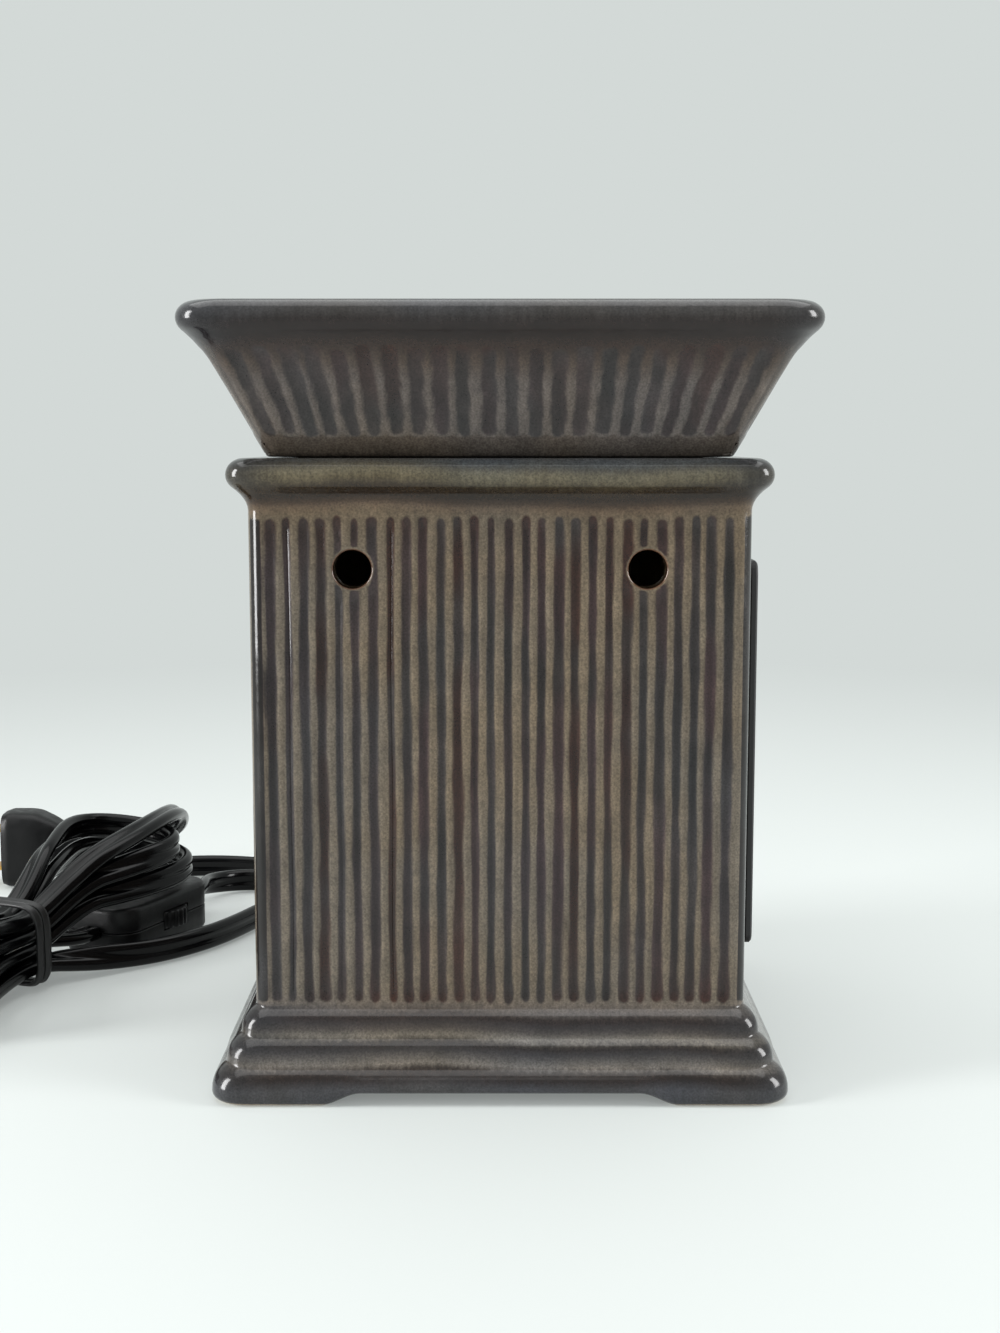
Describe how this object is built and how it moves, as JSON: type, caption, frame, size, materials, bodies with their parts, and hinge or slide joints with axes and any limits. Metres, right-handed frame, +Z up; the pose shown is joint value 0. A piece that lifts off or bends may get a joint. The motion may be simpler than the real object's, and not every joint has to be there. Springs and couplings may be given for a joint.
{
  "type": "electric wax warmer",
  "caption": "Square fluted ceramic lamp housing on a stepped base with a flared lift-off wax dish, a globe bulb inside, a flat plate on one side and a tied mains cord with an in-line switch.",
  "frame": {"origin": "middle of the footprint, on the table under the feet", "axes": "+Z up, -Y the fluted side seen in the picture, +X the side with the plate, cord leaving at +Y"},
  "size_m": [0.2473, 0.2158, 0.175],
  "materials": {
    "glaze": "glossy brown reactive glaze on stoneware, darker where it pools",
    "dish_glaze": "glossy charcoal brown reactive glaze on stoneware",
    "foam": "matt foam tape",
    "black_steel": "satin black coating",
    "steel": "zinc plated",
    "solder": "dull solder",
    "brass": "satin",
    "phenolic": "matt moulded",
    "clear_glass": "clear",
    "black_glass": "glossy",
    "tungsten": "dark drawn wire",
    "vinyl": "satin moulded vinyl",
    "tie_film": "matt ribbed film",
    "switch_plastic": "satin moulded"
  },
  "bodies": {
    "body": {"housing": "glaze", "plate_pad": "foam", "display_plate": "black_steel", "lamp_pipe": "steel", "upper_washer": "steel", "lower_washer": "steel", "lock_nut": "steel", "socket_body": "phenolic", "socket_screw_shell": "brass", "socket_contact": "brass", "inner_cord": "vinyl", "strain_relief": "vinyl", "cord_lead": "vinyl", "cord_link": "vinyl", "cord_hank": "vinyl", "cord_tail": "vinyl", "twist_tie": "tie_film", "switch_base": "switch_plastic", "switch_cover": "switch_plastic", "switch_axle": "steel", "switch_screw": "steel", "plug_body": "vinyl", "plug_blade_lower": "brass", "plug_blade_upper": "brass"},
    "dish": {"wax_dish": "dish_glaze"},
    "bulb": {"bulb_tip": "solder", "bulb_insulator": "black_glass", "bulb_cap": "brass", "bulb_glass": "clear_glass", "bulb_stem": "clear_glass", "bulb_filament": "tungsten"},
    "thumb_wheel": {"switch_wheel": "switch_plastic"}
  },
  "joints": [
    {"name": "dish_lift", "type": "slide", "parent": "body", "child": "dish", "axis": [0, 0, 1], "range_m": [0, 0.08]},
    {"name": "bulb_turn", "type": "hinge", "parent": "body", "child": "bulb", "pos_m": [0, 0, 0.045], "axis": [0, 0, 1], "continuous": true},
    {"name": "switch_turn", "type": "hinge", "parent": "body", "child": "thumb_wheel", "pos_m": [-0.10009, 0.07054, 0.0074], "axis": [0, 0, 1], "continuous": true}
  ]
}
